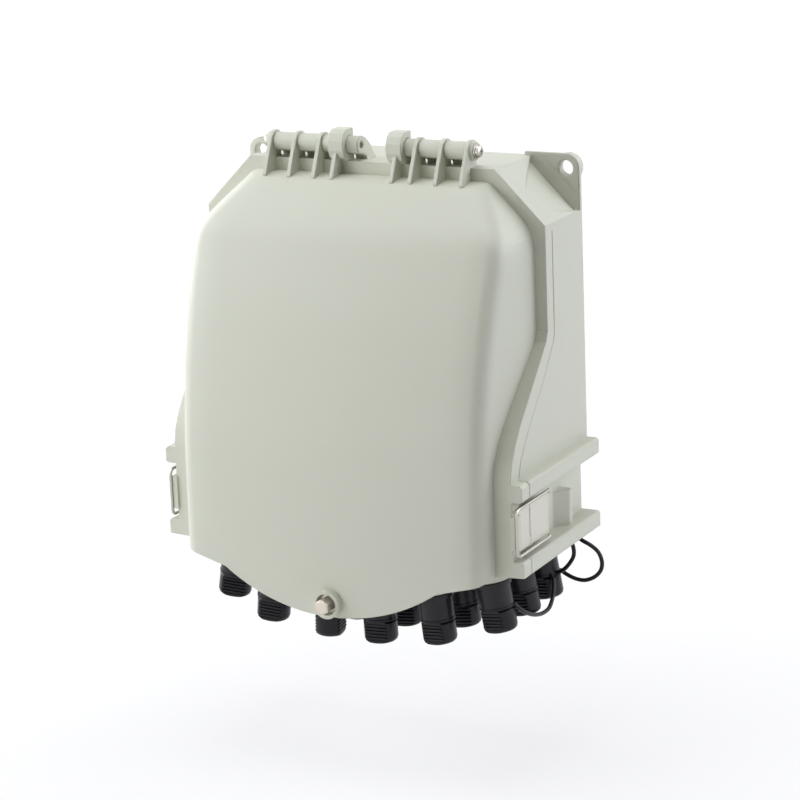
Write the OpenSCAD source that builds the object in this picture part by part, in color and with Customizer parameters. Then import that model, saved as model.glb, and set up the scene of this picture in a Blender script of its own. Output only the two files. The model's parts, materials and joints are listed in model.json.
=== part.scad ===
// Wall box for fibre terminations: a moulded base, a lid hinged at the top,
// two wire latches, a lock bolt and rows of capped ports underneath.
// X is to the right, Y is into the wall and Z is up.
// The wall is Y = 0 and the two ear holes are at Z = 0.

/* [Case] */
// Width across the lid rim
case_w = 266; // [256:1:290]
// Height from the ear holes down to the middle of the base floor
drop = 285; // [275:1:310]
// Depth of the base in the upper half
up_depth = 56; // [52:1:64]
// Depth of the base in the lower half
low_depth = 118.5; // [114:0.5:124]
// Depth from the wall to the middle of the lid
full_depth = 152.5; // [149:0.5:164]
// Depth of the lid skirt
skirt = 10.5; // [9:0.5:12]
// Wall thickness of the base
base_t = 3.5; // [2.5:0.25:4]
// Wall thickness of the lid
lid_t = 3; // [2.5:0.25:3.5]
// Diameter of an ear hole
hole_d = 11; // [6:0.5:12]

/* [Hinge] */
// Diameter of a hinge screw
pin_d = 5; // [4:0.5:6]
// Thickness of a lid rib
rib_t = 2.8; // [2:0.2:3.4]

/* [Latch] */
// Diameter of the bail wire
wire_d = 2.25; // [2:0.25:3.5]
// Length of the lever behind its pin
lever_l = 29; // [24:1:32]
// Thickness of the lever and bracket sheet
sheet_t = 1.5; // [1:0.25:2]

/* [Bolt] */
// Diameter of the lock bolt
bolt_d = 6; // [5:0.5:7]

/* [Ports] */
// Diameter of a dust cap
cap_d = 24; // [20:0.5:26]
// Length of a dust cap grip
cap_l = 16; // [12:0.5:22]
// Length of a port barrel below its flange
barrel_l = 15; // [10:0.5:20]

/* [Fits] */
// Gap between the lid skirt and the base rim
part_gap = 0.4; // [0.2:0.1:1]
// Running clearance on a pin, on the radius
run_gap = 0.06; // [0.03:0.01:0.1]
// Clearance round a turning cap, on the radius
cap_gap = 0.3; // [0.2:0.05:0.6]

/* [Hidden] */
$fn = 48;
grey = [0.80, 0.81, 0.77];
steel = [0.72, 0.72, 0.70];
black = [0.07, 0.07, 0.08];
rubber = [0.12, 0.12, 0.12];
brass = [0.75, 0.60, 0.30];
white = [0.90, 0.90, 0.88];
blue = [0.20, 0.35, 0.60];
green = [0.15, 0.45, 0.25];
clear = [0.80, 0.85, 0.88];
root2 = 1.41421;

// Main outline
hw = case_w / 2;
bw = hw - 1;
top_z = 8.5;
cham = 37;
corner = hw - cham + top_z;
zb = -drop;
wing = hw + 8;
chan = bw - 5.5;
hole_x = hw - 11;
back_y = -4;
ear_y = -7.3;
shelf_1t = zb + 92;
shelf_1b = zb + 80;
shelf_2t = zb + 38;
shelf_2b = zb + 27;
floor_r = 365;
floor_c = zb + floor_r;
chin_r = 146;
chin_z = zb - 11.5;
boss_h = 10;
nick = 1.5;
rim_d = up_depth + skirt;
low_rim = low_depth + skirt + 1.5;

// Parting line and rim line, as shares of the step in depth and height
part_steps = [[0, 0], [0.04, 0.07], [0.304, 0.32], [0.672, 0.615], [0.832, 0.76], [0.944, 0.875], [1, 1]];
rim_steps = [[0, 0], [0.047, 0.084], [0.336, 0.308], [0.727, 0.61], [0.867, 0.745], [0.961, 0.874], [1, 1]];
step_top = -105;
step_low = zb + 93;
rim_top = -101;
rim_low = zb + 95;

// Panel profile of the lid: height and depth share
panel = [
    [-0.5, 0.006], [-1, 0.076], [-2, 0.145], [-3.2, 0.174], [-8, 0.23], [-13, 0.288], [-18, 0.347],
    [-23, 0.405], [-27, 0.448], [-30, 0.477], [-33, 0.502], [-37, 0.529], [-42, 0.555], [-50, 0.591],
    [-58, 0.627], [-72, 0.692], [-90, 0.762], [-110, 0.826], [-130, 0.878], [-155, 0.928],
    [-180, 0.963], [-210, 0.986], [-245, 0.999], [-312, 1]
];
crown_top = 1;
crown_low = 3.5;
edge_r = 13;
draft = 0.07;

// Hinge
hinge_y = -(up_depth + 6.5);
hinge_z = 19.5;
knuckle_r = 6.3;
hook_in = knuckle_r + 0.4;
rib_x = [37.9, 57.5, 77];
hook_x = 23.5;
hook_x0 = 17;
hook_x1 = 28.5;
web_x0 = 8;
web_x1 = hook_x0 - 0.5;
side_gap = 0.4;
root_x0 = hook_x1 + 0.5;
root_x1 = rib_x[0] - rib_t / 2 - side_gap;
right_x0 = hook_x0 + 1;
head_x = rib_x[2] + rib_t / 2 + 3.6;

// Latch
wire_r = wire_d / 2;
latch_z0 = shelf_2t + 3 + 2 * wire_r;
latch_z1 = shelf_1b - 4.5 - 2 * wire_r;
piv_y = -(low_depth - 12.5);
lx = hw + 0.45 + sheet_t / 2;
barrel_r = 1.5;
lpin_d = 1.5;
lug_z0 = latch_z0 + 7;
lug_z1 = latch_z1 - 4;
leg_x = lx + barrel_r + 0.3 + wire_r;
leg_y = -(low_rim + wire_r + 0.3);
arm_gap = 0.7;
arm_z1 = latch_z1 + arm_gap + wire_r;
arm_z0 = latch_z0 - arm_gap - wire_r;
arm_y = piv_y + lever_l - 3.5;
bend_r = 4;
ramp_y = -42;
ramp_h = 26;
ramp_x = lx + 0.8;

// Sill and lock bolt
sill_y = -(full_depth - 13.5);
sill_gap = 1.3;
sill_hw = side_x(-sill_y, shelf_2b, lid_t) - sill_gap;
bolt_z = zb - 1.4;
boss_y = -(full_depth + 4);
seat_y = boss_y + 5;
bolt_tip = sill_y + 2;
head_h = 10;

// Ports: seat position in X, and row position in Y
seat_x = [19.3, 63.5, 101.5];
row_1 = sill_y + 24;
row_step = (-sill_y - 63) / 2;
row_in = [row_1, row_1 + row_step, row_1 + 2 * row_step];
row_out = [row_in[0] + 14, row_in[1] + 14, row_in[2] + 14];
fan_r = 570;
flange_t = 4;
neck_d = 18;
bore_d = 15.6;
ring_t = 1.6;
barrel_end = -(flange_t + barrel_l);
neck_h = ring_t + 0.6;

// One entry per port: X, Y
ports = [
    [-seat_x[2], row_out[0]], [-seat_x[1], row_in[0]], [-seat_x[0], row_in[0]],
    [seat_x[0], row_in[0]], [seat_x[1], row_in[0]], [seat_x[2], row_out[0]],
    [-seat_x[2], row_out[1]], [-seat_x[1], row_in[1]], [-seat_x[0], row_in[1]],
    [seat_x[0], row_in[1]], [seat_x[1], row_in[1]], [seat_x[2], row_out[1]],
    [-seat_x[2], row_out[2]], [-seat_x[1], row_in[2]], [seat_x[1], row_in[2]], [seat_x[2], row_out[2]]
];
glands = [[-seat_x[0], row_in[2]], [seat_x[0], row_in[2]]];
// Turn of each cap about its own axis
cap_turn = [20, 10, -80, 5, -5, -10, 15, 30, 0, 10, 5, -5, 0, 20, 10, -15];

// Splice tray
tray_y = -36;
tray_z = -128;
tray_w = 160;
tray_h = 90;
tray_d = 12;
spool_r = 22;
spool_x = tray_w / 2 - 34;
rest_x = spool_x - spool_r + 2;

// Splitter
split_w = 100;
split_h = 80;
split_t = 12;
split_z = -104;
split_y = back_y - base_t - split_t;
split_screw = split_w / 2 - 6;

// Tether routes
tether_d = 3;
route_a = [
    [125.5, -15, -262], [129.5, -17.5, -264], [134, -20, -265.6], [140, -20, -268.2], [146, -20, -272.6],
    [148.8, -20, -279.6], [147.6, -20, -286.4], [142.4, -20, -292], [135, -20, -295.2], [127.6, -20, -294.8],
    [121, -20, -292.4], [115.8, -19.9, -289.6]
];
route_b = [
    [127, -28, -262], [129.6, -28, -266], [130.8, -28, -271], [130.3, -28, -275.5], [127.7, -28, -280.2],
    [123.8, -27.8, -285], [120, -27.4, -288], [116.8, -27.1, -289.5]
];
route_c = [
    [114.5, -32.3, -289.9], [117.5, -35, -293], [119.5, -39.5, -298.5], [120.5, -44.5, -304],
    [121, -51, -307.8],
    [121, -60, -308.2], [121, -68, -306.8], [121, -76, -304.3], [120.8, -84, -300.8], [120, -91.5, -296.5],
    [118.6, -96, -292.4], [116.5, -97.9, -289.5]
];

function flip(p) = [for (i = [len(p) - 1 : -1 : 0]) p[i]];
function both_sides(p) = concat(p, [for (i = [len(p) - 1 : -1 : 0]) [-p[i][0], p[i][1]]]);
function soft_min(a, b, k) = -k * ln(exp(-a / k) + exp(-b / k));

// Parting line and rim line in the side view, moved forward by o
function part_path(o) = concat(
    [[-(up_depth + o), 60]],
    [for (s = part_steps)
        [-(up_depth + o + s[0] * (low_depth - up_depth)), step_top + s[1] * (step_low - step_top)]],
    [[-(low_depth + o), -420]]
);
function rim_path() = concat(
    [[-rim_d, 60]],
    [for (s = rim_steps) [-(rim_d + s[0] * (low_rim - rim_d)), rim_top + s[1] * (rim_low - rim_top)]],
    [[-low_rim, -420]]
);

// Front-view outlines
function lid_outline() = both_sides(concat(
    [[corner - top_z, top_z], [hw, corner - hw], [hw, shelf_1t], [wing - 2, shelf_1t], [wing, shelf_1t - 2]],
    [[wing, shelf_1b + nick], [wing - nick, shelf_1b], [hw, shelf_1b]],
    [[hw, shelf_2t], [wing - nick, shelf_2t], [wing, shelf_2t - nick], [wing, shelf_2b]],
    [[hw - 12, shelf_2b - 1], [hw - 19, shelf_2b - 4.5]],
    [for (a = [35 : -2 : 1]) [chin_r * sin(a), chin_z + chin_r - chin_r * cos(a)]]
));
function floor_z(x, r) = floor_c - sqrt(r * r - x * x);
// Lower edge of the lid, and the sill that stays behind it
function chin_low(x) = chin_z + chin_r - sqrt(chin_r * chin_r - x * x);
function lid_low(x) = x < 83 ? chin_low(x)
    : chin_low(83) + (x - 83) / (hw - 102) * (shelf_2b - 4.5 - chin_low(83));
function sill_z(x, t) = x > 65 ? max(floor_z(x, floor_r), lid_low(x) + 1) + t : floor_z(x, floor_r - t);
function base_outline() = both_sides(concat(
    [[corner - root2 - top_z + 1, top_z - 1], [bw, corner - root2 - bw], [bw, shelf_1t]],
    [[wing - nick, shelf_1t], [wing, shelf_1t - nick], [wing, shelf_1b + nick], [wing - nick, shelf_1b]],
    [[chan, shelf_1b], [chan, shelf_2t], [wing - nick, shelf_2t], [wing, shelf_2t - nick], [wing, shelf_2b]],
    [for (x = [bw - 4, 114, 100, 86, 72, 58, 44, 31, 18, 6]) [x, floor_z(x, floor_r)]]
));
function base_inside(t) = both_sides(concat(
    [[corner - root2 * (1 + t) - top_z + 1 + t, top_z - 1 - t], [bw - t, corner - root2 * (1 + t) - bw + t]],
    [[bw - t, shelf_1t - 5], [chan - t, shelf_1b + 2], [chan - t, shelf_2t - 6]],
    [for (x = [chan - t - 2, 112, 100, 86, 72, 58, 44, 31, 18, 6]) [x, floor_z(x, floor_r - t)]]
));
function hoop(i) = [
    [hw - i, shelf_2t - 3], [hw - i, corner - root2 * i - hw + i],
    [corner - root2 * i - top_z + i, top_z - i],
    [-(corner - root2 * i - top_z + i), top_z - i], [-(hw - i), corner - root2 * i - hw + i],
    [-(hw - i), shelf_2t - 3]
];

// Extrudes a front-view outline from y0 back to y1
module front_prism(pts, y0, y1)
    translate([0, y1, 0])
    rotate([90, 0, 0])
    linear_extrude(y1 - y0)
    polygon(pts);

// Extrudes a side-view outline from x0 to x1
module side_prism(pts, x0, x1)
    translate([x0, 0, 0])
    rotate([90, 0, 90])
    linear_extrude(x1 - x0)
    polygon(pts);

module mirror_pair() {
    children();
    mirror([1, 0, 0]) children();
}

// Cylinder along X, and along Y towards the wall
module rod_x(x0, x1, y, z, r)
    translate([x0, y, z])
    rotate([0, 90, 0])
    cylinder(h = x1 - x0, r = r);
module rod_y(y0, y1, x, z, r)
    translate([x, y0, z])
    rotate([-90, 0, 0])
    cylinder(h = y1 - y0, r = r);

// Bulged form of the lid, set in by t on every side
function panel_d(i) = rim_d + panel[i][1] * (full_depth - rim_d);
function panel_z(i) = panel[i][0] > -50 ? panel[i][0] : -50 + (panel[i][0] + 50) * (drop - 50) / 235;
function panel_n(i) = let (
    a = max(i - 1, 0),
    b = min(i + 1, len(panel) - 1),
    dz = panel_z(b) - panel_z(a),
    dd = panel_d(b) - panel_d(a),
    n = sqrt(dz * dz + dd * dd)
) [dd / n, -dz / n];
function side_x(d, z, t) = soft_min(
    hw - 8 - t - draft * (d - rim_d),
    corner - 11.3 - root2 * t - z - 0.15 * (d - rim_d),
    4
);
function crown_at(z) = crown_top + (crown_low - crown_top) * min(1, max(0, (-z - 30) / 190));
function section(z, d, t, yb) = let (
    cr = crown_at(z),
    de = d - cr,
    xs = side_x(de, z, t),
    r = max(1.5, min(edge_r - t, 0.6 * (de - rim_d + 17))),
    x1 = xs - r + r * cos(83),
    y1 = de - r + r * sin(83),
    right = concat(
        [[side_x(40, z, t), yb, z]],
        [for (a = [0 : 16.6 : 83]) [xs - r + r * cos(a), -(de - r + r * sin(a)), z]],
        [for (f = [0.86, 0.7, 0.52, 0.34, 0.17]) [x1 * f, -(y1 + cr * (1 - f * f)), z]]
    )
) concat(right, [[0, -(y1 + cr), z]], [for (i = [len(right) - 1 : -1 : 0]) [-right[i][0], right[i][1], z]]);
module bulge(t, yb) {
    m = len(panel);
    rings = [for (i = [0 : m - 1])
        section(panel_z(i) - t * panel_n(i)[0], panel_d(i) - t * panel_n(i)[1], t, yb)];
    n = len(rings[0]);
    polyhedron(
        points = [for (ring = rings) each ring],
        faces = concat(
            [[for (j = [0 : n - 1]) j]],
            [[for (j = [n - 1 : -1 : 0]) (m - 1) * n + j]],
            [for (i = [0 : m - 2]) for (j = [0 : n - 1]) [i * n + (j + 1) % n, i * n + j, (i + 1) * n + j]],
            [for (i = [0 : m - 2]) for (j = [0 : n - 1])
                [i * n + (j + 1) % n, (i + 1) * n + j, (i + 1) * n + (j + 1) % n]]
        ),
        convexity = 6
    );
}

// Port frame: the seat is at the origin and the port points down
function port_tilt(x) = asin(x / fan_r);
function seat_z(x) = floor_z(x, floor_r) - 1.5;
module at_port(p)
    translate([p[0], p[1], seat_z(p[0])])
    rotate([0, -port_tilt(p[0]), 0])
    children();

// Tube swept along a route
function unit(v) = v / norm(v);
function ahead(r, i) = unit(r[min(i + 1, len(r) - 1)] - r[max(i - 1, 0)]);
function tube_ring(r, i, rad) = let (
    t = ahead(r, i),
    u = unit(cross(t, [0.3, 1, 0.2])),
    v = cross(t, u)
) [for (a = [0 : 45 : 315]) r[i] + rad * (cos(a) * u + sin(a) * v)];
module tube(r, d) {
    m = len(r);
    polyhedron(
        points = [for (i = [0 : m - 1]) each tube_ring(r, i, d / 2)],
        faces = concat(
            [[for (j = [7 : -1 : 0]) j]],
            [[for (j = [0 : 7]) (m - 1) * 8 + j]],
            [for (i = [0 : m - 2]) for (j = [0 : 7]) [i * 8 + j, i * 8 + (j + 1) % 8, (i + 1) * 8 + j]],
            [for (i = [0 : m - 2]) for (j = [0 : 7])
                [i * 8 + (j + 1) % 8, (i + 1) * 8 + (j + 1) % 8, (i + 1) * 8 + j]]
        ),
        convexity = 4
    );
}

// Base with ears, knuckles, shelves, sill and port seats
module base_shell() {
    difference() {
        intersection() {
            front_prism(base_outline(), -230, back_y);
            side_prism(concat([[back_y, 60]], part_path(0), [[back_y, -420]]), -200, 200);
        }
        front_prism(base_inside(base_t), -240, back_y - base_t);
    }
    difference() {
        front_prism(both_sides(concat(
            [[sill_hw, shelf_2b]],
            [for (x = [sill_hw, 100, 90, 83, 76, 70, 65, 58, 44, 31, 18, 6]) [x, sill_z(x, 0)]]
        )), sill_y, -low_depth + 2);
        front_prism(both_sides(concat(
            [[sill_hw - base_t, zb + 40]],
            [for (x = [sill_hw - base_t, 100, 90, 83, 76, 70, 65, 58, 44, 31, 18, 6])
                [x, sill_z(x, base_t)]]
        )), sill_y + base_t, -low_depth + 10);
    }
    mirror_pair() sill_step();
}
// Web that closes the step between the floor and the raised ends of the sill
module sill_step() {
    at_x = [65, 70, 76, 83, 90, 100, sill_hw];
    front_prism(concat(
        [for (x = at_x) [x, floor_z(x, floor_r) + 0.8]],
        flip([for (x = at_x) [x, sill_z(x, base_t - 0.8)]])
    ), -low_depth, -low_depth + 2);
}
module ear() {
    front_prism([
        [corner - top_z - 5, 10], [hole_x, 10], [hole_x + 10, 0], [hole_x + 10, -32],
        [hole_x - 12, -32], [corner - top_z - 5, -6]
    ], ear_y, back_y);
    rod_y(ear_y, 0, hole_x, 0, 10);
}
// Knuckle root from the top wall up to the hinge axis
module knuckle_root(x0, x1)
    side_prism([
        [hinge_y + 1, hinge_z + 6], [hinge_y + 8, hinge_z - 0.5], [hinge_y + 12, top_z - 2],
        [hinge_y + 7, top_z - 2], [hinge_y + 7, top_z + 2], [hinge_y + 1, hinge_z - 6]
    ], x0, x1);
module knuckles() {
    ends = [[rib_x[0] + rib_t / 2 + side_gap, rib_x[1] - rib_t / 2 - side_gap],
        [rib_x[1] + rib_t / 2 + side_gap, rib_x[2] - rib_t / 2 - side_gap]];
    for (e = ends) {
        rod_x(e[0], e[1], hinge_y, hinge_z, knuckle_r);
        knuckle_root(e[0], e[1]);
    }
    knuckle_root(root_x0, root_x1);
    rod_x(right_x0, root_x1, hinge_y, hinge_z, knuckle_r);
}
// Longer inner knuckle with a sloping web, on the left hinge alone
module inner_knuckle() {
    rod_x(-right_x0 - 1, -web_x0, hinge_y, hinge_z, knuckle_r);
    side_prism([
        [hinge_y, hinge_z + 6.2], [hinge_y + 6, hinge_z + 4.4], [hinge_y + 14, hinge_z - 2.5],
        [hinge_y + 21, top_z - 2], [hinge_y + 7, top_z - 2], [hinge_y + 7, top_z + 2],
        [hinge_y + 1, hinge_z - 6]
    ], -web_x1, -web_x0);
}
// Shallow driver scoop on the sloping corner, deeper towards the ear
module corner_recess() {
    e = up_depth - 6 + ear_y - 0.2;
    translate([corner - top_z + cham / 2, -up_depth + 6, top_z - cham / 2])
        rotate([0, 45, 0])
        translate([0, 0, -1])
        rotate([-4.2, 0, 0])
        linear_extrude(10)
        polygon([[-26, e], [26, e], [17, 6], [13, 2], [7, 0], [1, 0], [-4, 2], [-8, 8]]);
}
// Finger ramp that stands on the lower shelf, behind the free end of the lever
module finger_ramp()
    translate([0, 0, shelf_2t - 1])
    linear_extrude(ramp_h + 1)
    polygon([
        [chan - 1, ramp_y - 10], [chan, ramp_y - 10], [ramp_x, ramp_y], [ramp_x, ramp_y + 4],
        [chan - 1, ramp_y + 4]
    ]);
// Narrow groove in the side wall along the parting line
module side_groove()
    side_prism(concat(
        [[-(up_depth - 1.2), -34]],
        [for (i = [1 : 7]) part_path(-1.2)[i]],
        flip([for (i = [1 : 7]) part_path(-2.4)[i]]),
        [[-(up_depth - 2.4), -34]]
    ), bw - 2, bw + 1);
module base() color(grey)
    difference() {
        union() {
            base_shell();
            inner_knuckle();
            mirror_pair() {
                ear();
                knuckles();
                rod_y(back_y, 0, hw - 25, zb + 60, 10);
                finger_ramp();
                translate([tray_w / 2 + 4, tray_y - 5, tray_z - 5])
                    cube([8, -tray_y - 2, 10]);
            }
            for (p = concat(ports, glands))
                at_port(p)
                cylinder(h = boss_h, d = 28);
            rod_y(sill_y, sill_y + 5.5, 0, bolt_z, 7.5);
            translate([-7.5, sill_y, bolt_z])
                cube([15, base_t, 10]);
        }
        mirror_pair() {
            rod_y(-20, 1, hole_x, 0, hole_d / 2);
            rod_x(web_x0 - 1, right_x0 + 4, hinge_y, hinge_z, pin_d / 2);
            rod_x(right_x0 + 3, 90, hinge_y, hinge_z, pin_d / 2 + 0.1);
            rod_x(tray_w / 2 + 3, tray_w / 2 + 13, tray_y, tray_z, 2);
            corner_recess();
            side_groove();
            translate([leg_x - wire_r - 0.4, -low_depth - 1, shelf_1b - 1])
                cube([2 * wire_r + 0.8, low_depth + 1 + arm_y + wire_r + 2, 9]);
        }
        for (p = concat(ports, glands))
            at_port(p)
            translate([0, 0, -5])
            cylinder(h = 30, d = neck_d + 0.4);
        rod_y(sill_y - 1, sill_y + 5, 0, bolt_z, bolt_d / 2 + 1.25);
    }

// Lid with its skirt, bulge, hinge ribs, hooks, keepers and bolt boss
module rib(x, full) {
    if (full)
        rod_x(x - rib_t / 2, x + rib_t / 2, hinge_y, hinge_z, knuckle_r + 1.4);
    side_prism([
        [hinge_y - 7.4, hinge_z + 2], [-(rim_d + 14), -1.5], [-(rim_d + 12), -6], [-(rim_d - 1), -1],
        [-(up_depth + 1.5), 4], [-(up_depth + 1.5), hinge_z - 6.6], [hinge_y + (full ? 2 : -6), hinge_z - 7]
    ], x - rib_t / 2, x + rib_t / 2);
}
// Open hook that grips the knuckle, flat on top and cut off at the back
module hook()
    difference() {
        side_prism([
            for (p = [
                [5, 11], [-4.5, 11], [-8.7, 8.4], [-11, 3.6], [-11.2, -3], [-9, -8], [-4, -11], [5, -11]
            ])
                [hinge_y + p[0], hinge_z + p[1]]
        ], hook_x0, hook_x1);
        translate([hook_x0 - 1, hinge_y, hinge_z - 4.5])
            cube([hook_x1 - hook_x0 + 2, 20, 9]);
    }
module keeper()
    difference() {
        translate([hw - 1, leg_y, latch_z0 + 3])
            cube([leg_x - 0.3 - hw + 1, -leg_y - low_rim + 5.5, latch_z1 - latch_z0 - 6]);
        translate([leg_x, leg_y, latch_z0 - 20])
            cylinder(h = 80, r = wire_r + 0.3);
    }
module lid() color(grey)
    difference() {
        union() {
            difference() {
                union() {
                    intersection() {
                        front_prism(lid_outline(), -230, 0);
                        side_prism(concat(part_path(part_gap), flip(rim_path())), -200, 200);
                    }
                    intersection() {
                        bulge(0, -40);
                        front_prism(lid_outline(), -230, 0);
                        side_prism(concat(part_path(part_gap), [[-240, -420], [-240, 60]]), -200, 200);
                    }
                    mirror_pair() {
                        for (x = rib_x) rib(x, true);
                        rod_x(rib_x[2], rib_x[2] + rib_t / 2 + 2.4, hinge_y, hinge_z, knuckle_r);
                        rib(hook_x, false);
                        hook();
                        keeper();
                    }
                }
                bulge(lid_t, -20);
            }
            rod_y(boss_y, sill_y - 0.6, 0, bolt_z, 10.4);
        }
        mirror_pair() {
            rod_x(rib_x[0] - 3, 90, hinge_y, hinge_z, pin_d / 2 + run_gap);
            rod_x(hook_x0 - 2, hook_x1 + 1, hinge_y, hinge_z, hook_in);
        }
        intersection() {
            front_prism(concat(hoop(3), flip(hoop(7))), -230, 0);
            side_prism(concat(part_path(part_gap - 2), flip(part_path(part_gap + 3.2))), -200, 200);
        }
        rod_y(boss_y - 1, seat_y, 0, bolt_z, 7.6);
        rod_y(boss_y - 1, sill_y + 2, 0, bolt_z, bolt_d / 2 + 0.3);
    }
module gasket() color(rubber)
    intersection() {
        front_prism(concat(hoop(3.15), flip(hoop(6.85))), -230, 0);
        side_prism(concat(part_path(part_gap - 0.2), flip(part_path(part_gap + 3.2))), -200, 200);
    }

// Hinge screws with a round cross-slotted head, and their washers
module hinge_screw(x0)
    difference() {
        union() {
            rod_x(x0, head_x + 1, hinge_y, hinge_z, pin_d / 2);
            translate([head_x, hinge_y, hinge_z])
                rotate([0, 90, 0])
                rotate_extrude()
                polygon([[0, 0], [4.3, 0], [4.3, 1.2], [3.8, 2.2], [2.7, 2.9], [0, 3.1]]);
        }
        for (a = [0, 90])
            translate([head_x + 1.8, hinge_y, hinge_z])
            rotate([a, 0, 0])
            translate([0, -2.3, -0.45])
            cube([4, 4.6, 0.9]);
    }
module hinge_screws() color(steel) {
    hinge_screw(right_x0 + 0.6);
    mirror([1, 0, 0]) hinge_screw(web_x0 + 4);
}
module hinge_washers() color(steel)
    mirror_pair()
    difference() {
        rod_x(head_x - 1.1, head_x, hinge_y, hinge_z, 5.2);
        rod_x(head_x - 3, head_x + 1, hinge_y, hinge_z, pin_d / 2 + 0.2);
    }

// Latches
module bracket()
    difference() {
        union() {
            translate([chan, piv_y - 10.5, lug_z0 - 1])
                cube([lx - chan, 7, lug_z1 - lug_z0 + 2]);
            translate([lx - sheet_t / 2, piv_y - 18, latch_z0])
                cube([sheet_t, 18 - barrel_r - 0.3, latch_z1 - latch_z0]);
            for (e = [[latch_z0, lug_z0], [lug_z1, latch_z1]]) {
                translate([lx, piv_y, e[0]])
                    cylinder(h = e[1] - e[0], r = barrel_r);
                translate([lx - sheet_t / 2, piv_y - barrel_r - 1, e[0]])
                    cube([sheet_t, barrel_r + 1, e[1] - e[0]]);
            }
        }
        translate([lx, piv_y, latch_z0 - 5])
            cylinder(h = 60, d = lpin_d);
    }
module latch_brackets() color(steel)
    mirror_pair() bracket();
module latch_pins() color(steel)
    mirror_pair()
    translate([lx, piv_y, latch_z0 + 0.2])
    cylinder(h = latch_z1 - latch_z0 - 0.4, d = lpin_d);
module lever()
    difference() {
        union() {
            translate([lx, piv_y, lug_z0 + 0.3])
                cylinder(h = lug_z1 - lug_z0 - 0.6, r = barrel_r);
            translate([lx - sheet_t / 2, piv_y, lug_z0 + 0.3])
                cube([sheet_t, barrel_r + 2, lug_z1 - lug_z0 - 0.6]);
            translate([lx - sheet_t / 2, piv_y + barrel_r + 0.3, latch_z0])
                cube([sheet_t, lever_l - barrel_r - 0.3, latch_z1 - latch_z0]);
        }
        translate([lx, piv_y, latch_z0 - 5])
            cylinder(h = 60, r = lpin_d / 2 + run_gap);
    }
module lever_right() color(steel)
    lever();
module lever_left() color(steel)
    mirror([1, 0, 0]) lever();
// Wire bend in the side view
module bend(y, z, turn)
    translate([leg_x, y, z])
    rotate([90, 0, 90])
    rotate([0, 0, turn])
    rotate_extrude(angle = 90)
    translate([bend_r, 0])
    circle(r = wire_r);
module bail() {
    translate([leg_x, leg_y, arm_z0 + bend_r])
        cylinder(h = arm_z1 - arm_z0 - 2 * bend_r, r = wire_r);
    bend(leg_y + bend_r, arm_z1 - bend_r, 90);
    bend(leg_y + bend_r, arm_z0 + bend_r, 180);
    for (z = [arm_z0, arm_z1]) {
        rod_y(leg_y + bend_r, arm_y, leg_x, z, wire_r);
        translate([leg_x, arm_y, z])
            sphere(r = wire_r);
    }
    translate([leg_x, arm_y, arm_z0])
        cylinder(h = wire_r + 0.9, r = wire_r);
    translate([leg_x, arm_y, arm_z1 - wire_r - 0.9])
        cylinder(h = wire_r + 0.9, r = wire_r);
}
module bail_right() color(steel)
    bail();
module bail_left() color(steel)
    mirror([1, 0, 0]) bail();

// Lock bolt, its washer and its threaded insert
module lock_bolt() color(steel) {
    translate([0, seat_y - 1, bolt_z])
        rotate([90, 30, 0])
        cylinder(h = head_h, d = 11.55, $fn = 6);
    rod_y(seat_y - head_h - 1.4, seat_y - head_h, 0, bolt_z, 4.4);
    rod_y(seat_y - 2, sill_y - 1, 0, bolt_z, bolt_d / 2);
    rod_y(sill_y - 2, bolt_tip, 0, bolt_z, 1.8);
}
module bolt_washer() color(steel)
    difference() {
        rod_y(seat_y - 1, seat_y, 0, bolt_z, 6.5);
        rod_y(seat_y - 2, seat_y + 1, 0, bolt_z, bolt_d / 2 + 0.2);
    }
module bolt_insert() color(brass)
    difference() {
        rod_y(sill_y, sill_y + 5, 0, bolt_z, bolt_d / 2 + 1.25);
        rod_y(sill_y - 1, sill_y + 6, 0, bolt_z, bolt_d / 2 - 0.5);
    }

// Ports
module port_body()
    difference() {
        union() {
            translate([0, 0, -flange_t])
                cylinder(h = flange_t - 1, d = cap_d + 3);
            translate([0, 0, -1])
                cylinder(h = 1, d = 20);
            translate([0, 0, barrel_end])
                cylinder(h = barrel_l + 1, d = cap_d);
            translate([0, 0, -1])
                cylinder(h = 17, d = neck_d);
        }
        translate([0, 0, barrel_end - 1])
            cylinder(h = -barrel_end + 7, d = bore_d);
        translate([-4.6, -3.6, 0])
            cube([9.2, 7.2, 30]);
    }
module port_bodies() color(black)
    for (p = ports) at_port(p) port_body();
module port_seals() color(rubber)
    for (p = ports)
        at_port(p)
        translate([0, 0, -1])
        difference() {
            cylinder(h = 1, d = cap_d + 1);
            translate([0, 0, -1]) cylinder(h = 3, d = 20.2);
        }
module port_nuts() color(black)
    for (p = ports)
        at_port(p)
        translate([0, 0, boss_h])
        difference() {
            cylinder(h = 5, d = 27, $fn = 6);
            translate([0, 0, -1]) cylinder(h = 8, d = neck_d);
        }
module connectors() color(green)
    for (p = ports)
        at_port(p) {
            translate([-4.4, -3.4, 6])
                cube([8.8, 6.8, 20]);
            translate([0, 0, 26])
                cylinder(h = 14, d = 5);
        }
module tether_rings() color(black)
    for (p = ports)
        at_port(p)
        translate([0, 0, barrel_end - ring_t])
        difference() {
            cylinder(h = ring_t, d = cap_d + 0.8);
            translate([0, 0, -1]) cylinder(h = 4, d = cap_d - 3.4);
        }

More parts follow.
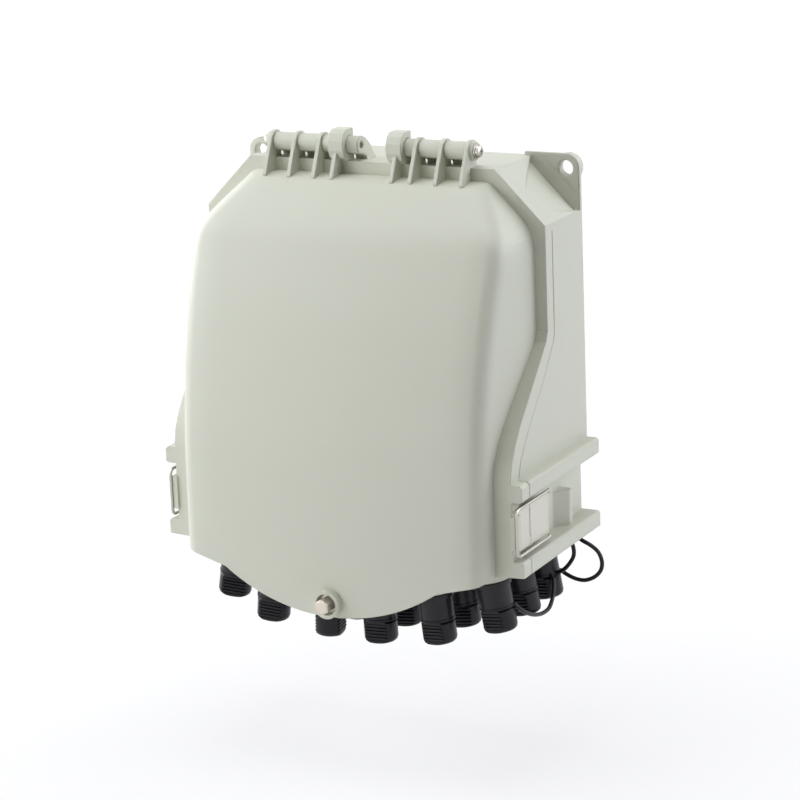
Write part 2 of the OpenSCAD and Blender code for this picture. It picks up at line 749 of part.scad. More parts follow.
// Dust cap: a plug, a necked collar and a flat-sided grip with cross grooves
module cap(i) color(black)
    at_port(ports[i])
    rotate([0, 0, cap_turn[i]])
    translate([0, 0, barrel_end - 0.1]) {
        translate([0, 0, -neck_h])
            cylinder(h = 9 + neck_h, d = bore_d - 2 * cap_gap);
        translate([0, 0, -neck_h])
            cylinder(h = neck_h, d = cap_d - 4);
        translate([0, 0, -neck_h - cap_l])
            difference() {
                intersection() {
                    rotate_extrude()
                        polygon([
                            [0, 0], [cap_d / 2 - 3.6, 0], [cap_d / 2 - 1.8, 0.5], [cap_d / 2 - 0.6, 1.6],
                            [cap_d / 2, 3.4], [cap_d / 2, cap_l - 1.2], [cap_d / 2 - 1.2, cap_l], [0, cap_l]
                        ]);
                    translate([-cap_d / 2, -cap_d * 0.36, 0])
                        cube([cap_d, cap_d * 0.72, cap_l]);
                }
                for (s = [-1, 1])
                    for (k = [0 : 4])
                        translate([0, s * cap_d * 0.36, 2.6 + k * (cap_l - 4) / 5])
                        cube([cap_d * 0.94, 1.6, 1], center = true);
            }
    }
module cap_01() cap(0);
module cap_02() cap(1);
module cap_03() cap(2);
module cap_04() cap(3);
module cap_05() cap(4);
module cap_06() cap(5);
module cap_07() cap(6);
module cap_08() cap(7);
module cap_09() cap(8);
module cap_10() cap(9);
module cap_11() cap(10);
module cap_12() cap(11);
module cap_13() cap(12);
module cap_14() cap(13);
module cap_15() cap(14);
module cap_16() cap(15);

// Feeder glands with blanking plugs
module gland_bodies() color(black)
    for (p = glands)
        at_port(p)
        difference() {
            union() {
                translate([0, 0, -flange_t])
                    cylinder(h = flange_t, d = 27, $fn = 6);
                translate([0, 0, -16])
                    cylinder(h = 13, d = 22);
                translate([0, 0, -1])
                    cylinder(h = 17, d = neck_d);
            }
            translate([0, 0, -30])
                cylinder(h = 60, d = 12);
        }
module gland_nuts() color(black)
    for (p = glands)
        at_port(p)
        translate([0, 0, boss_h])
        difference() {
            cylinder(h = 5, d = 27, $fn = 6);
            translate([0, 0, -1]) cylinder(h = 8, d = neck_d);
        }
module gland_plugs() color(rubber)
    for (p = glands)
        at_port(p) {
            translate([0, 0, -16])
                cylinder(h = 12, d = 12);
            translate([0, 0, -18])
                cylinder(h = 2, d = 16);
        }

// Splitter module on the back wall
module splitter() color(white)
    difference() {
        translate([-split_w / 2, split_y, split_z])
            cube([split_w, split_t, split_h]);
        for (s = [-1, 1])
            rod_y(split_y - 5, 0, s * split_screw, split_z + 6, 1.6);
        for (k = [-7 : 7])
            translate([k * split_w / 18 - 1.5, split_y + 4, split_z - 2])
            cube([3, 4, 6]);
    }
module splitter_screws() color(steel)
    for (s = [-1, 1]) {
        rod_y(split_y - 1.8, split_y, s * split_screw, split_z + 6, 2.8);
        rod_y(split_y, back_y - base_t, s * split_screw, split_z + 6, 1.5);
    }

// Splice tray that swings forward on two pins
module splice_tray() color(white)
    difference() {
        union() {
            translate([-tray_w / 2, tray_y - tray_d / 2, tray_z + 6])
                cube([tray_w, tray_d, tray_h - 6]);
            mirror_pair() {
                rod_x(tray_w / 2 - 8, tray_w / 2 + 3.4, tray_y, tray_z, 4.6);
                translate([tray_w / 2 - 8, tray_y - 4.6, tray_z])
                    cube([8, 9.2, 8]);
            }
        }
        mirror_pair()
            rod_x(tray_w / 2 - 10, tray_w / 2 + 10, tray_y, tray_z, 2 + run_gap);
        difference() {
            translate([-tray_w / 2 + 2, tray_y - tray_d / 2 - 1, tray_z + 8])
                cube([tray_w - 4, tray_d - 1, tray_h - 10]);
            mirror_pair()
                rod_y(tray_y - tray_d / 2, tray_y + tray_d, spool_x, tray_z + 50, spool_r);
            translate([-rest_x, tray_y - 1, tray_z + 30])
                cube([2 * rest_x, tray_d, 40]);
        }
        mirror_pair()
            rod_y(tray_y - tray_d, tray_y + tray_d / 2 - 2, spool_x, tray_z + 50, spool_r - 2);
    }
module tray_pins() color(steel)
    mirror_pair()
    rod_x(tray_w / 2 - 7, tray_w / 2 + 12, tray_y, tray_z, 2);
module tray_cover() color(clear)
    translate([-tray_w / 2, tray_y - tray_d / 2 - 1.5, tray_z + 6])
    cube([tray_w, 1.5, tray_h - 6]);
module splice_sleeves() color(blue)
    for (k = [0 : 7])
        rod_x(4 - rest_x, rest_x - 4, tray_y - 2.3, tray_z + 34 + k * 4.6, 1.3);

// Tethers
module tether_a() color(black)
    tube(route_a, tether_d);
module tether_b() color(black)
    tube(route_b, tether_d);
module tether_c() color(black)
    tube(route_c, tether_d);

base();
lid();
gasket();
hinge_screws();
hinge_washers();
latch_brackets();
latch_pins();
lever_left();
lever_right();
bail_left();
bail_right();
lock_bolt();
bolt_washer();
bolt_insert();
port_bodies();
port_seals();
port_nuts();
tether_rings();
connectors();
cap_01();
cap_02();
cap_03();
cap_04();
cap_05();
cap_06();
cap_07();
cap_08();
cap_09();
cap_10();
cap_11();
cap_12();
cap_13();
cap_14();
cap_15();
cap_16();
gland_bodies();
gland_nuts();
gland_plugs();
splitter();
splitter_screws();
splice_tray();
tray_pins();
tray_cover();
splice_sleeves();
tether_a();
tether_b();
tether_c();
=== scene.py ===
"""Looks of a wall box for fibre terminations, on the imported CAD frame.

Lengths are in metres. X is to the right, Y is into the wall and Z is up.
"""
import json
import logging
import math
from dataclasses import dataclass, replace
from enum import Enum

import bmesh
import bpy
from mathutils import Matrix, Vector


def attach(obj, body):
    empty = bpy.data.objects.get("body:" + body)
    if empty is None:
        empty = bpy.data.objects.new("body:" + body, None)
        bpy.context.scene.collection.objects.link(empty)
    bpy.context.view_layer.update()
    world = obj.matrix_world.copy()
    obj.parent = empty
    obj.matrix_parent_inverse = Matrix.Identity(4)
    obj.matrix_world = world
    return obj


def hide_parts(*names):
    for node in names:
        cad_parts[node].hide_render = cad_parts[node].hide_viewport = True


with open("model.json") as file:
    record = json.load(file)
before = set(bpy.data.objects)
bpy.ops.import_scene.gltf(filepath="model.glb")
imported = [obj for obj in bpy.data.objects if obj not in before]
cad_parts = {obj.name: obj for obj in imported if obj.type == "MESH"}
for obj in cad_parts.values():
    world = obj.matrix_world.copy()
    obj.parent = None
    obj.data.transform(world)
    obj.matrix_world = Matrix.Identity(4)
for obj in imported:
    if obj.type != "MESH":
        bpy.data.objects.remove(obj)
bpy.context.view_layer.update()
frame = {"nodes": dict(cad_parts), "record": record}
log = logging.getLogger("wall_box")

Point = tuple[float, float, float]
Socket = bpy.types.NodeSocket


class Slot(Enum):
    """Material slots of the record."""

    CASE = "case"
    RUBBER = "rubber"
    STEEL = "steel"
    BRASS = "brass"
    BLACK = "black"
    CAP = "cap"
    GREEN = "green"
    WHITE = "white"
    CLEAR = "clear"
    BLUE = "blue"


class Nodes:
    """Small helper that adds and wires shader nodes in one tree."""

    def __init__(self, tree: bpy.types.NodeTree) -> None:
        """Keeps the tree.

        Args:
            tree: The node tree to add to.
        """
        self.tree = tree

    def add(self, kind: str, **sockets: object) -> bpy.types.Node:
        """Adds a node and sets its unlinked sockets.

        Args:
            kind: The node's bl_idname.
            sockets: Values by socket name, with _ for a space.

        Returns:
            The new node.
        """
        node = self.tree.nodes.new(kind)
        for name, value in sockets.items():
            node.inputs[name.replace("_", " ")].default_value = value
        return node

    def link(self, source: Socket, target: Socket) -> None:
        """Wires one socket to another."""
        self.tree.links.new(source, target)

    def math(self, operation: str, first: Socket, second: Socket) -> Socket:
        """Joins two values by one sum.

        Args:
            operation: Name of the math operation.
            first: The first value.
            second: The second value.

        Returns:
            The result.
        """
        node = self.add("ShaderNodeMath")
        node.operation = operation
        self.link(first, node.inputs[0])
        self.link(second, node.inputs[1])
        return node.outputs[0]

    def mix(self, factor: Socket, first: Socket, second: Socket) -> Socket:
        """Mixes two shaders.

        Args:
            factor: Share of the second shader.
            first: The first shader.
            second: The second shader.

        Returns:
            The mixed shader.
        """
        node = self.add("ShaderNodeMixShader")
        self.link(factor, node.inputs[0])
        self.link(first, node.inputs[1])
        self.link(second, node.inputs[2])
        return node.outputs[0]


def new_group(
    name: str, ins: list[tuple[str, str, object]], outs: list[tuple[str, str]]
) -> bpy.types.NodeTree:
    """Makes an empty shader node group with named sockets.

    Args:
        name: Name of the group.
        ins: Name, socket type and default of each input.
        outs: Name and socket type of each output.

    Returns:
        The group's tree, with its input and output nodes in place.
    """
    tree = bpy.data.node_groups.new(name, "ShaderNodeTree")
    for label, kind, value in ins:
        socket = tree.interface.new_socket(label, in_out="INPUT", socket_type=kind)
        if value is not None:
            socket.default_value = value
    for label, kind in outs:
        tree.interface.new_socket(label, in_out="OUTPUT", socket_type=kind)
    tree.nodes.new("NodeGroupInput")
    tree.nodes.new("NodeGroupOutput")
    return tree


class Effects:
    """Shader groups that several finishes share."""

    def __init__(self) -> None:
        """Builds each group once."""
        self.grain = self.build_grain()
        self.mottle = self.build_mottle()

    @staticmethod
    def build_grain() -> bpy.types.NodeTree:
        """Fine moulding grain as a height and a roughness mask.

        Returns:
            The group.
        """
        tree = new_group(
            "moulding_grain",
            [
                ("Vector", "NodeSocketVector", None),
                ("Scale", "NodeSocketFloat", 2400.0),
                ("Stretch", "NodeSocketVector", (1, 1, 1)),
            ],
            [("Height", "NodeSocketFloat"), ("Mask", "NodeSocketFloat")],
        )
        n = Nodes(tree)
        gin = tree.nodes["Group Input"]
        gout = tree.nodes["Group Output"]
        scaled = n.add("ShaderNodeVectorMath")
        scaled.operation = "MULTIPLY"
        n.link(gin.outputs["Vector"], scaled.inputs[0])
        n.link(gin.outputs["Stretch"], scaled.inputs[1])
        fine = n.add("ShaderNodeTexNoise", Detail=3.0, Roughness=0.6)
        n.link(scaled.outputs[0], fine.inputs["Vector"])
        n.link(gin.outputs["Scale"], fine.inputs["Scale"])
        broad = n.add("ShaderNodeTexNoise", Scale=38.0, Detail=2.0)
        n.link(scaled.outputs[0], broad.inputs["Vector"])
        n.link(fine.outputs[0], gout.inputs["Height"])
        n.link(broad.outputs[0], gout.inputs["Mask"])
        return tree

    @staticmethod
    def build_mottle() -> bpy.types.NodeTree:
        """Faint colour drift over a large surface.

        Returns:
            The group.
        """
        tree = new_group(
            "colour_drift",
            [
                ("Vector", "NodeSocketVector", None),
                ("Dark", "NodeSocketColor", (0.5, 0.5, 0.5, 1)),
                ("Light", "NodeSocketColor", (0.6, 0.6, 0.6, 1)),
                ("Scale", "NodeSocketFloat", 14.0),
            ],
            [("Color", "NodeSocketColor")],
        )
        n = Nodes(tree)
        gin = tree.nodes["Group Input"]
        gout = tree.nodes["Group Output"]
        drift = n.add("ShaderNodeTexNoise", Detail=4.0, Roughness=0.55)
        n.link(gin.outputs["Vector"], drift.inputs["Vector"])
        n.link(gin.outputs["Scale"], drift.inputs["Scale"])
        mix = n.add("ShaderNodeMix")
        mix.data_type = "RGBA"
        n.link(drift.outputs[0], mix.inputs["Factor"])
        n.link(gin.outputs["Dark"], mix.inputs[6])
        n.link(gin.outputs["Light"], mix.inputs[7])
        n.link(mix.outputs[2], gout.inputs["Color"])
        return tree


@dataclass(frozen=True)
class Finish:
    """One surface finish, made into a material."""

    name: str
    dark: Point
    light: Point
    rough: float
    rough_swing: float = 0.08
    metal: float = 0.0
    grain_scale: float = 2400.0
    grain_depth: float = 0.00002
    stretch: Point = (1.0, 1.0, 1.0)
    edge: float = 0.0
    coat: float = 0.0
    specular: float = 0.5
    alpha: float = 1.0
    bump_strength: float = 0.6
    edge_samples: int = 6

    def build(self, effects: Effects) -> bpy.types.Material:
        """Makes the material.

        Args:
            effects: The shared shader groups.

        Returns:
            The material.
        """
        mat = bpy.data.materials.new("finish_" + self.name)
        mat.use_nodes = True
        tree = mat.node_tree
        n = Nodes(tree)
        bsdf = tree.nodes["Principled BSDF"]
        coords = n.add("ShaderNodeTexCoord")
        drift = n.add("ShaderNodeGroup")
        drift.node_tree = effects.mottle
        drift.inputs["Dark"].default_value = (*self.dark, 1)
        drift.inputs["Light"].default_value = (*self.light, 1)
        n.link(coords.outputs["Object"], drift.inputs["Vector"])
        n.link(drift.outputs["Color"], bsdf.inputs["Base Color"])
        grain = n.add("ShaderNodeGroup")
        grain.node_tree = effects.grain
        grain.inputs["Scale"].default_value = self.grain_scale
        grain.inputs["Stretch"].default_value = self.stretch
        n.link(coords.outputs["Object"], grain.inputs["Vector"])
        span = n.add("ShaderNodeMapRange")
        span.inputs["To Min"].default_value = self.rough - self.rough_swing
        span.inputs["To Max"].default_value = self.rough + self.rough_swing
        n.link(grain.outputs["Mask"], span.inputs["Value"])
        n.link(span.outputs["Result"], bsdf.inputs["Roughness"])
        bump = n.add("ShaderNodeBump", Strength=self.bump_strength, Distance=self.grain_depth)
        n.link(grain.outputs["Height"], bump.inputs["Height"])
        if self.edge:
            soft = n.add("ShaderNodeBevel", Radius=self.edge)
            soft.samples = self.edge_samples
            n.link(soft.outputs["Normal"], bump.inputs["Normal"])
        n.link(bump.outputs["Normal"], bsdf.inputs["Normal"])
        bsdf.inputs["Metallic"].default_value = self.metal
        bsdf.inputs["Specular IOR Level"].default_value = self.specular
        bsdf.inputs["Coat Weight"].default_value = self.coat
        bsdf.inputs["Alpha"].default_value = self.alpha
        return mat


CASE_FINISH = Finish(Slot.CASE.value, (0.60, 0.61, 0.505), (0.62, 0.63, 0.525), 0.48, edge=0.0009)
FINISHES: tuple[Finish, ...] = (
    CASE_FINISH,
    replace(CASE_FINISH, name="soft_case", edge=0.0026),
    Finish(Slot.RUBBER.value, (0.014, 0.014, 0.014), (0.022, 0.022, 0.022), 0.72),
    Finish(
        Slot.STEEL.value, (0.42, 0.40, 0.36), (0.52, 0.50, 0.45), 0.30,
        metal=1.0, grain_depth=0.00001, stretch=(1, 1, 0.05), edge=0.0004,
    ),
    Finish(Slot.BRASS.value, (0.55, 0.40, 0.16), (0.62, 0.46, 0.20), 0.32, metal=1.0),
    Finish(Slot.BLACK.value, (0.010, 0.009, 0.012), (0.016, 0.015, 0.019), 0.34, edge=0.0005, specular=0.3),
    Finish(Slot.CAP.value, (0.008, 0.007, 0.010), (0.013, 0.012, 0.016), 0.30, edge=0.0006, specular=0.25),
    Finish(Slot.GREEN.value, (0.02, 0.16, 0.06), (0.03, 0.20, 0.08), 0.30),
    Finish(Slot.WHITE.value, (0.58, 0.58, 0.56), (0.64, 0.64, 0.62), 0.45, edge=0.0005),
    Finish(Slot.CLEAR.value, (0.70, 0.78, 0.82), (0.74, 0.82, 0.86), 0.12, alpha=0.35),
    Finish(Slot.BLUE.value, (0.03, 0.10, 0.34), (0.05, 0.14, 0.42), 0.30),
    Finish(
        "sheet", (0.62, 0.61, 0.53), (0.66, 0.65, 0.57), 0.46,
        metal=0.35, grain_depth=0.00001, stretch=(1, 1, 0.05), edge=0.0004,
    ),
    Finish("bolt", (0.56, 0.51, 0.44), (0.64, 0.59, 0.52), 0.34, metal=0.8, grain_depth=0.00001, edge=0.0004),
)

# Nodes whose finish differs from the plain one of their slot
NODE_FINISHES: dict[str, str] = {
    "base": "soft_case",
    "lever_left": "sheet",
    "lever_right": "sheet",
    "latch_brackets": "sheet",
    "lock_bolt": "bolt",
}


# Where the lamps aim, how far they stand, and their three tints
AIM: Point = (0.0, -0.08, -0.14)
LAMP_REACH = 1.6
WARM: Point = (1.0, 1.0, 0.955)
PLAIN: Point = (0.985, 1.0, 1.03)
COOL: Point = (0.985, 1.0, 1.10)

# Each lamp's side angle, height angle, power and tint
LAMPS: tuple[tuple[str, float, float, float, Point], ...] = (
    ("key_lamp", -60, 30, 9.6, COOL),
    ("side_key_lamp", -60, 10, 4.8, PLAIN),
    ("left_lamp", -100, 20, 12.5, COOL),
    ("low_lamp", -25, -15, 11.5, WARM),
    ("right_lamp", 104, 18, 7.9, COOL),
    ("back_lamp", 130, 30, 8.6, COOL),
    ("top_lamp", 0, 85, 13.8, PLAIN),
)


@dataclass
class Studio:
    """Camera, floor, world and lamps."""

    eye: Point = (0.92536, -1.74460, 0.36194)
    azimuth: float = 28.44
    elevation: float = 15.32
    roll: float = 2.32
    lens: float = 126.2
    floor_z: float = -0.42
    floor_half: float = 6.0
    glow_share: float = 0.7
    glow_near: float = 0.2
    glow_far: float = 2.5
    world_light: float = 0.02
    lamp_size: float = 1.0

    def build_camera(self) -> None:
        """Sets the camera at the photograph's viewpoint."""
        a, e, r = (math.radians(v) for v in (self.azimuth, self.elevation, self.roll))
        right = Vector((math.cos(a), math.sin(a), 0))
        up = Vector((-math.sin(a) * math.sin(e), math.cos(a) * math.sin(e), math.cos(e)))
        x_axis = right * math.cos(r) - up * math.sin(r)
        y_axis = right * math.sin(r) + up * math.cos(r)
        z_axis = x_axis.cross(y_axis)
        data = bpy.data.cameras.new("photo_camera")
        data.lens = self.lens
        data.sensor_width = 36
        cam = bpy.data.objects.new("photo_camera", data)
        turn = Matrix((x_axis, y_axis, z_axis)).transposed().to_4x4()
        cam.matrix_world = Matrix.Translation(self.eye) @ turn
        bpy.context.scene.collection.objects.link(cam)
        bpy.context.scene.camera = cam

    @staticmethod
    def seen_rays(n: Nodes) -> Socket:
        """Marks the rays that see the background as plain white.

        Args:
            n: Helper of the tree to add to.

        Returns:
            One for camera, glossy and transmission rays, and zero for all others.
        """
        path = n.add("ShaderNodeLightPath").outputs
        shown = n.math("MAXIMUM", path["Is Camera Ray"], path["Is Glossy Ray"])
        return n.math("MAXIMUM", shown, path["Is Transmission Ray"])

    def pale_surface(self, n: Nodes, lit: Socket) -> Socket:
        """Mixes the lit floor with a white glow that grows away from the object.

        Args:
            n: Helper of the floor's tree.
            lit: The lit floor.

        Returns:
            The mixed shader, which keeps a faint shadow.
        """
        reach = n.add("ShaderNodeVectorMath")
        reach.operation = "LENGTH"
        n.link(n.add("ShaderNodeTexCoord").outputs["Object"], reach.inputs[0])
        white = n.add("ShaderNodeMapRange", To_Min=1.0, To_Max=1.0 / self.glow_share)
        white.inputs["From Min"].default_value = self.glow_near
        white.inputs["From Max"].default_value = self.glow_far
        n.link(reach.outputs["Value"], white.inputs["Value"])
        glow = n.add("ShaderNodeEmission", Color=(1, 1, 1, 1))
        n.link(white.outputs["Result"], glow.inputs["Strength"])
        share = n.add("ShaderNodeMath")
        share.operation = "MULTIPLY"
        share.inputs[1].default_value = self.glow_share
        n.link(self.seen_rays(n), share.inputs[0])
        return n.mix(share.outputs[0], lit, glow.outputs[0])

    def build_floor(self) -> None:
        """Adds a wide pale floor that is open to a camera below it."""
        mesh = bpy.data.meshes.new("floor")
        s = self.floor_half
        mesh.from_pydata([(-s, -s, 0), (s, -s, 0), (s, s, 0), (-s, s, 0)], [], [(0, 1, 2, 3)])
        floor = bpy.data.objects.new("floor", mesh)
        floor.location = (AIM[0], AIM[1], self.floor_z)
        bpy.context.scene.collection.objects.link(floor)
        mat = bpy.data.materials.new("pale_floor")
        mat.use_nodes = True
        tree = mat.node_tree
        n = Nodes(tree)
        bsdf = tree.nodes["Principled BSDF"]
        bsdf.inputs["Base Color"].default_value = (0.9, 0.9, 0.9, 1)
        bsdf.inputs["Roughness"].default_value = 0.9
        pale = self.pale_surface(n, bsdf.outputs[0])
        back = n.add("ShaderNodeNewGeometry").outputs["Backfacing"]
        below = n.math("MULTIPLY", back, n.add("ShaderNodeLightPath").outputs["Is Camera Ray"])
        sided = n.mix(below, pale, n.add("ShaderNodeBsdfTransparent").outputs[0])
        n.link(sided, tree.nodes["Material Output"].inputs["Surface"])
        mesh.materials.append(mat)

    def build_world(self) -> None:
        """Sets a dim world that camera, metal and glass see as white."""
        world = bpy.data.worlds.new("studio_world")
        bpy.context.scene.world = world
        world.use_nodes = True
        tree = world.node_tree
        n = Nodes(tree)
        soft = tree.nodes["Background"]
        soft.inputs["Color"].default_value = (1, 1, 1, 1)
        soft.inputs["Strength"].default_value = self.world_light
        white = n.add("ShaderNodeBackground", Color=(1, 1, 1, 1), Strength=1.0)
        seen = n.mix(self.seen_rays(n), soft.outputs[0], white.outputs[0])
        n.link(seen, tree.nodes["World Output"].inputs["Surface"])

    @staticmethod
    def lamp(name: str, place: Point, size: float, power: float, tint: Point) -> None:
        """Adds one soft area lamp.

        Args:
            name: Name of the lamp.
            place: Where it stands.
            size: Side of its square.
            power: Power in watts.
            tint: Its colour.
        """
        data = bpy.data.lights.new(name, "AREA")
        data.shape = "SQUARE"
        data.size = size
        data.energy = power
        data.color = tint
        lamp = bpy.data.objects.new(name, data)
        lamp.location = place
        lamp.rotation_euler = (Vector(AIM) - Vector(place)).to_track_quat("-Z", "Y").to_euler()
        bpy.context.scene.collection.objects.link(lamp)

    def build_lamps(self) -> None:
        """Adds soft lamps round the object, each by its direction from the front."""
        for name, side, height, power, tint in LAMPS:
            a, e = math.radians(side), math.radians(height)
            way = Vector((math.sin(a) * math.cos(e), -math.cos(a) * math.cos(e), math.sin(e)))
            self.lamp(name, tuple(Vector(AIM) + way * LAMP_REACH), self.lamp_size, power, tint)

    def build(self) -> None:
        """Builds the whole studio."""
        self.build_camera()
        self.build_floor()
        self.build_world()
        self.build_lamps()
        bpy.context.scene.view_settings.view_transform = "Standard"
        log.info("studio built")


@dataclass
class Tether:
    """One thin cap tether along a route of round points in millimetres."""

    name: str
    route: tuple[Point, ...]
    node: str
    diameter: float = 0.003
    steps: int = 3

    def line(self) -> list[Vector]:
        """Smooths the route.

        Returns:
            Points along one smooth curve, in metres.
        """
        pts = [Vector(p) / 1000 for p in self.route]
        ends = [pts[0] * 2 - pts[1], *pts, pts[-1] * 2 - pts[-2]]
        line: list[Vector] = []
        for i in range(1, len(ends) - 2):
            p0, p1, p2, p3 = ends[i - 1 : i + 3]
            for k in range(self.steps):
                t = k / self.steps
                square = 2 * p0 - 5 * p1 + 4 * p2 - p3
                cube = 3 * p1 - p0 - 3 * p2 + p3
                line.append(0.5 * (2 * p1 + (p2 - p0) * t + square * t**2 + cube * t**3))
        line.append(pts[-1])
        return line

    def build(self, mat: bpy.types.Material) -> None:
        """Args:
            mat: Its finish.
        """
        line = self.line()
        curve = bpy.data.curves.new(self.name, "CURVE")
        curve.dimensions = "3D"
        curve.bevel_depth = self.diameter / 2
        curve.bevel_resolution = 4
        curve.use_fill_caps = True
        spline = curve.splines.new("POLY")
        spline.points.add(len(line) - 1)
        for point, place in zip(spline.points, line):
            point.co = (*place, 1)
        piece = bpy.data.objects.new(self.name, curve)
        bpy.context.scene.collection.objects.link(piece)
        curve.materials.append(mat)
        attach(piece, "base")
        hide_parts(self.node)


TETHERS: tuple[Tether, ...] = (
    Tether(
        "cap_tether_a",
        (
            (125.5, -15, -262), (129.5, -17.5, -264), (134, -20, -265.6), (140, -20, -268.2),
            (146, -20, -272.6), (148.8, -20, -279.6), (147.6, -20, -286.4), (142.4, -20, -292),
            (135, -20, -295.2), (127.6, -20, -294.8), (121, -20, -292.4), (115.8, -19.9, -289.6),
        ),
        "tether_a",
    ),
    Tether(
        "cap_tether_b",
        (
            (127, -28, -262), (129.6, -28, -266), (130.8, -28, -271), (130.3, -28, -275.5),
            (127.7, -28, -280.2), (123.8, -27.8, -285), (120, -27.4, -288), (116.8, -27.1, -289.5),
        ),
        "tether_b",
    ),
    Tether(
        "cap_tether_c",
        (
            (114.5, -32.3, -289.9), (117.5, -35, -293), (119.5, -39.5, -298.5), (120.5, -44.5, -304),
            (121, -51, -307.8), (121, -60, -308.2), (121, -68, -306.8), (121, -76, -304.3),
            (120.8, -84, -300.8), (120, -91.5, -296.5), (118.6, -96, -292.4), (116.5, -97.9, -289.5),
        ),
        "tether_c",
    ),
)


@dataclass
class Shell:
    """A moulded shell: the CAD solid with its curved faces shaded smooth."""

    node: str
    body: str
    slot: Slot
    sharp_angle: float = 20.0
    merge_within: float = 1e-6

    def build(self, mat: bpy.types.Material) -> None:
        """Copies the solid, merges its loose triangles and smooths it.

        Args:
            mat: The shell's finish.
        """
        mesh = frame["nodes"][self.node].data.copy()
        mesh.name = self.node + "_shell"
        work = bmesh.new()
        work.from_mesh(mesh)
        bmesh.ops.remove_doubles(work, verts=work.verts, dist=self.merge_within)
        bmesh.ops.dissolve_degenerate(work, edges=work.edges, dist=self.merge_within)
        work.to_mesh(mesh)
        work.free()
        mesh.attributes.remove(mesh.attributes["custom_normal"])
        mesh.shade_smooth()
        mesh.set_sharp_from_angle(angle=math.radians(self.sharp_angle))
        mesh.materials.clear()
        mesh.materials.append(mat)
        piece = bpy.data.objects.new(self.node + "_shell", mesh)
        bpy.context.scene.collection.objects.link(piece)
        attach(piece, self.body)
        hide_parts(self.node)
        log.info("%s built", piece.name)


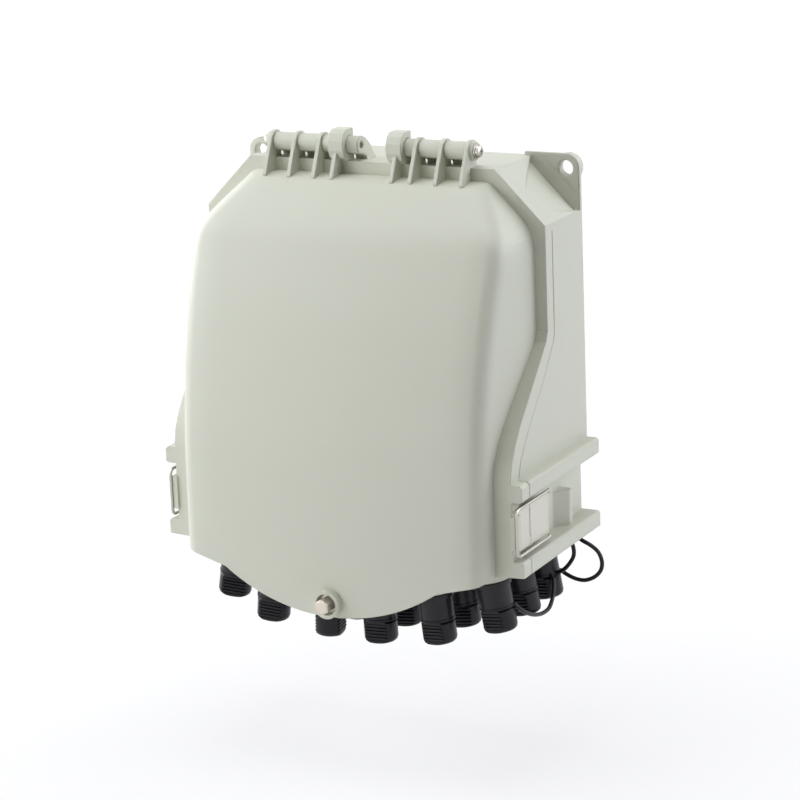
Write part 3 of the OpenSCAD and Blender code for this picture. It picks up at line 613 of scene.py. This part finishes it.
@dataclass(frozen=True)
class GripRibs:
    """Moulded ribs on both flats of every dust cap, from one node tree."""

    turns: tuple[float, ...] = (20, 10, -80, 5, -5, -10, 15, 30, 0, 10, 5, -5, 0, 20, 10, -15)
    count: int = 5
    pitch: float = 0.0024
    length: float = 0.0152
    radius: float = 0.0008
    reach: float = 0.0084
    low: float = -0.0335
    sides: int = 12
    sharp_angle: float = 40.0

    def build_tree(self) -> bpy.types.NodeTree:
        """Makes the tree: a row of round bars on each flat of one cap.

        Returns:
            The tree, with named inputs for its sizes.
        """
        tree = bpy.data.node_groups.new("grip_ribs", "GeometryNodeTree")
        for label, kind in (
            ("Count", "NodeSocketInt"), ("Pitch", "NodeSocketFloat"), ("Length", "NodeSocketFloat"),
            ("Radius", "NodeSocketFloat"), ("Reach", "NodeSocketFloat"), ("Low", "NodeSocketFloat"),
            ("Finish", "NodeSocketMaterial"),
        ):
            tree.interface.new_socket(label, in_out="INPUT", socket_type=kind)
        tree.interface.new_socket("Geometry", in_out="OUTPUT", socket_type="NodeSocketGeometry")
        n = Nodes(tree)
        gin = n.add("NodeGroupInput")
        gout = n.add("NodeGroupOutput")
        start = n.add("ShaderNodeCombineXYZ")
        n.link(gin.outputs["Reach"], start.inputs["Y"])
        n.link(gin.outputs["Low"], start.inputs["Z"])
        step = n.add("ShaderNodeCombineXYZ")
        n.link(gin.outputs["Pitch"], step.inputs["Z"])
        row = n.add("GeometryNodeMeshLine")
        n.link(gin.outputs["Count"], row.inputs["Count"])
        n.link(start.outputs[0], row.inputs["Start Location"])
        n.link(step.outputs[0], row.inputs["Offset"])
        bar = n.add("GeometryNodeMeshCylinder", Vertices=self.sides)
        n.link(gin.outputs["Radius"], bar.inputs["Radius"])
        n.link(gin.outputs["Length"], bar.inputs["Depth"])
        ribs = n.add("GeometryNodeInstanceOnPoints", Rotation=(0, math.pi / 2, 0))
        n.link(row.outputs[0], ribs.inputs["Points"])
        n.link(bar.outputs["Mesh"], ribs.inputs["Instance"])
        far = n.add("GeometryNodeTransform", Rotation=(0, 0, math.pi))
        n.link(ribs.outputs[0], far.inputs["Geometry"])
        both = n.add("GeometryNodeJoinGeometry")
        n.link(ribs.outputs[0], both.inputs[0])
        n.link(far.outputs[0], both.inputs[0])
        real = n.add("GeometryNodeRealizeInstances")
        n.link(both.outputs[0], real.inputs[0])
        dressed = n.add("GeometryNodeSetMaterial")
        n.link(real.outputs[0], dressed.inputs["Geometry"])
        n.link(gin.outputs["Finish"], dressed.inputs["Material"])
        n.link(dressed.outputs[0], gout.inputs[0])
        return tree

    def build_mesh(self, mat: bpy.types.Material) -> bpy.types.Mesh:
        """Runs the tree once.

        Args:
            mat: The ribs' finish.

        Returns:
            A plain mesh of one cap's ribs, in the cap's own frame.
        """
        tree = self.build_tree()
        host = bpy.data.objects.new("rib_host", bpy.data.meshes.new("rib_host"))
        bpy.context.scene.collection.objects.link(host)
        run = host.modifiers.new("ribs", "NODES")
        run.node_group = tree
        values = {
            "Count": self.count, "Pitch": self.pitch, "Length": self.length, "Radius": self.radius,
            "Reach": self.reach, "Low": self.low, "Finish": mat,
        }
        for item in tree.interface.items_tree:
            if item.in_out == "INPUT":
                run[item.identifier] = values[item.name]
        graph = bpy.context.evaluated_depsgraph_get()
        mesh = bpy.data.meshes.new_from_object(host.evaluated_get(graph))
        host.modifiers.remove(run)
        bpy.data.objects.remove(host)
        mesh.shade_smooth()
        mesh.set_sharp_from_angle(angle=math.radians(self.sharp_angle))
        return mesh

    def build(self, mat: bpy.types.Material) -> None:
        """Sets the ribs on each cap.

        Args:
            mat: The ribs' finish.
        """
        ribs = self.build_mesh(mat)
        seats = {j["child"]: j for j in frame["record"]["behaviour"]["joints"]}
        for i, turn in enumerate(self.turns):
            cap = f"cap_{i + 1:02d}"
            seat = seats[cap]
            tilt = math.atan2(seat["axis"][0], seat["axis"][2])
            lean = Matrix.Rotation(tilt, 4, "Y") @ Matrix.Rotation(math.radians(turn), 4, "Z")
            mesh = ribs.copy()
            mesh.transform(Matrix.Translation(seat["pos_m"]) @ lean)
            piece = bpy.data.objects.new(cap + "_ribs", mesh)
            bpy.context.scene.collection.objects.link(piece)
            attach(piece, cap)
        log.info("ribs built on %d caps", len(self.turns))


def dress_nodes(finishes: dict[str, bpy.types.Material]) -> None:
    """Gives every CAD node the finish of its slot.

    Args:
        finishes: Materials by finish name.
    """
    for sub in frame["record"]["subparts"]:
        node = frame["nodes"][sub["node"]]
        mat = finishes[NODE_FINISHES.get(sub["node"], sub["material_slot"])]
        if not node.material_slots:
            node.data.materials.append(mat)
        for slot in node.material_slots:
            slot.material = mat
    log.info("CAD nodes dressed")


def main() -> None:
    """Builds the studio, then the object's pieces in order."""
    logging.basicConfig(level=logging.INFO, format="%(message)s")
    Studio().build()
    effects = Effects()
    finishes = {f.name: f.build(effects) for f in FINISHES}
    for tether in TETHERS:
        tether.build(finishes[Slot.CAP.value])
    dress_nodes(finishes)
    Shell("lid", "lid", Slot.CASE).build(finishes[Slot.CASE.value])
    GripRibs().build(finishes[Slot.CAP.value])


if __name__ == "__main__":
    main()
